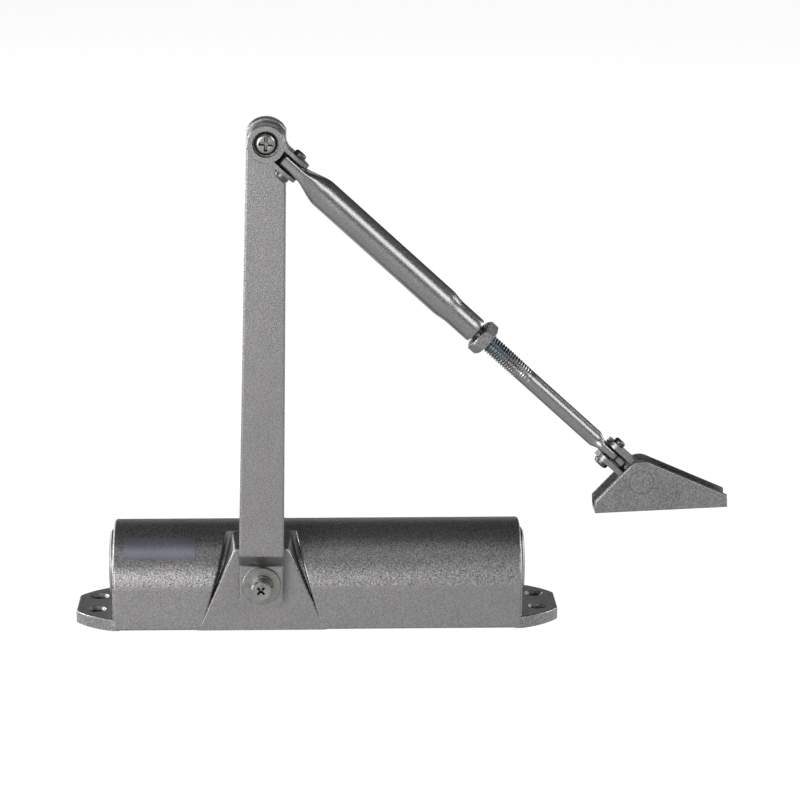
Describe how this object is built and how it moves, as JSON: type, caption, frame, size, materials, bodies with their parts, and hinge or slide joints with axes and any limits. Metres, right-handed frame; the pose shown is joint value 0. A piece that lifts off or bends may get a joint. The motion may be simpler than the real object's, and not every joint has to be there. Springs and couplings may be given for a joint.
{
  "type": "door closer",
  "caption": "Surface-mounted hydraulic door closer: silver housing with spring and rack piston inside, spindle arm, elbow, adjustable forearm and pivoting shoe.",
  "frame": {"origin": "centre of the four housing screw holes, on the housing's mounting face", "axes": "+X along the housing towards the speed valves' end, +Z away from the mounting face, -Y along the spindle towards the arm"},
  "size_m": [0.2789, 0.0835, 0.2263],
  "materials": {
    "silver_cast": "cast aluminium, silver metallic powder coat",
    "silver_paint": "silver metallic powder coat, fine grain",
    "bright_zinc": "bright zinc plate",
    "zinc_thread": "zinc thread, painted rod",
    "bare_steel": "machined steel",
    "dark_steel": "dark rivet steel",
    "spring_steel": "oiled spring steel",
    "cast_iron": "ground cast iron",
    "seal_rubber": "black nitrile",
    "bearing_plastic": "slide ring",
    "grey_plastic": "moulded cap",
    "blank_film": "blank blue-grey film"
  },
  "bodies": {
    "housing": {"housing": "silver_cast", "end_plug_left": "bare_steel", "end_plug_right": "bare_steel", "end_plug_seal_left": "seal_rubber", "end_plug_seal_right": "seal_rubber", "spindle_bearing_front": "bare_steel", "spindle_bearing_back": "bare_steel", "spindle_seal_front": "seal_rubber", "spindle_seal_back": "seal_rubber", "gland_nut_front": "bare_steel", "gland_nut_back": "bare_steel", "spindle_cap": "grey_plastic", "name_plate": "blank_film", "closer_spring": "spring_steel"},
    "closing_valve": {"closing_speed_valve": "bright_zinc", "closing_valve_seal": "seal_rubber"},
    "latching_valve": {"latching_speed_valve": "bright_zinc", "latching_valve_seal": "seal_rubber"},
    "arm": {"spindle": "bare_steel", "main_arm": "silver_paint", "arm_washer": "bright_zinc", "arm_lock_washer": "bright_zinc", "arm_screw": "bright_zinc", "elbow_post": "bare_steel", "elbow_screw": "bright_zinc", "elbow_washer": "bright_zinc"},
    "piston": {"piston": "cast_iron", "piston_ring_left": "bearing_plastic", "piston_ring_right": "bearing_plastic", "check_valve_seat": "bare_steel", "check_valve_ball": "bright_zinc"},
    "elbow": {"elbow_fork": "silver_paint", "elbow_rivet": "dark_steel"},
    "forearm": {"forearm_tube": "silver_paint"},
    "lock_nut": {"lock_nut": "silver_paint"},
    "rod": {"adjusting_rod": "zinc_thread"},
    "shoe_fork": {"shoe_fork": "silver_paint", "shoe_rivet": "dark_steel"},
    "shoe": {"shoe_bracket": "silver_paint", "shoe_pin": "silver_paint"}
  },
  "joints": [
    {"name": "spindle_turn", "type": "hinge", "parent": "housing", "child": "arm", "pos_m": [-0.0244, 0, 0.0225], "axis": [0, -1, 0], "range_deg": [0, 150], "stiffness_Nm_per_rad": 4, "springref_deg": -85.94},
    {"name": "piston_travel", "type": "slide", "parent": "housing", "child": "piston", "axis": [1, 0, 0], "range_m": [0, 0.0197], "deforming": ["closer_spring"]},
    {"name": "closing_speed_turn", "type": "hinge", "parent": "housing", "child": "closing_valve", "pos_m": [0.078, -0.019, 0.0096], "axis": [1, 0, 0], "range_deg": [-360, 360]},
    {"name": "latching_speed_turn", "type": "hinge", "parent": "housing", "child": "latching_valve", "pos_m": [0.078, 0.019, 0.0096], "axis": [1, 0, 0], "range_deg": [-360, 360]},
    {"name": "elbow_turn", "type": "hinge", "parent": "arm", "child": "elbow", "pos_m": [-0.02066, -0.04875, 0.21706], "axis": [0, -1, 0], "range_deg": [-45, 130]},
    {"name": "elbow_tilt", "type": "hinge", "parent": "elbow", "child": "forearm", "pos_m": [-0.01033, -0.04875, 0.20762], "axis": [0.6743, 0, 0.7385], "range_deg": [-8, 8]},
    {"name": "lock_nut_turn", "type": "hinge", "parent": "forearm", "child": "lock_nut", "pos_m": [0.06928, -0.04875, 0.13493], "axis": [0.7385, 0, -0.6743], "continuous": true},
    {"name": "forearm_length", "type": "slide", "parent": "forearm", "child": "rod", "axis": [0.7385, 0, -0.6743], "range_m": [-0.02, 0.025]},
    {"name": "shoe_tilt", "type": "hinge", "parent": "rod", "child": "shoe_fork", "pos_m": [0.12363, -0.04875, 0.08531], "axis": [0.6743, 0, 0.7385], "range_deg": [-8, 8]},
    {"name": "shoe_turn", "type": "hinge", "parent": "shoe_fork", "child": "shoe", "pos_m": [0.13618, -0.04875, 0.07384], "axis": [0, -1, 0], "range_deg": [-40, 85]}
  ],
  "couplings": [
    {"joint": "piston_travel", "follows": "spindle_turn", "m_per_rad": 0.0075}
  ]
}
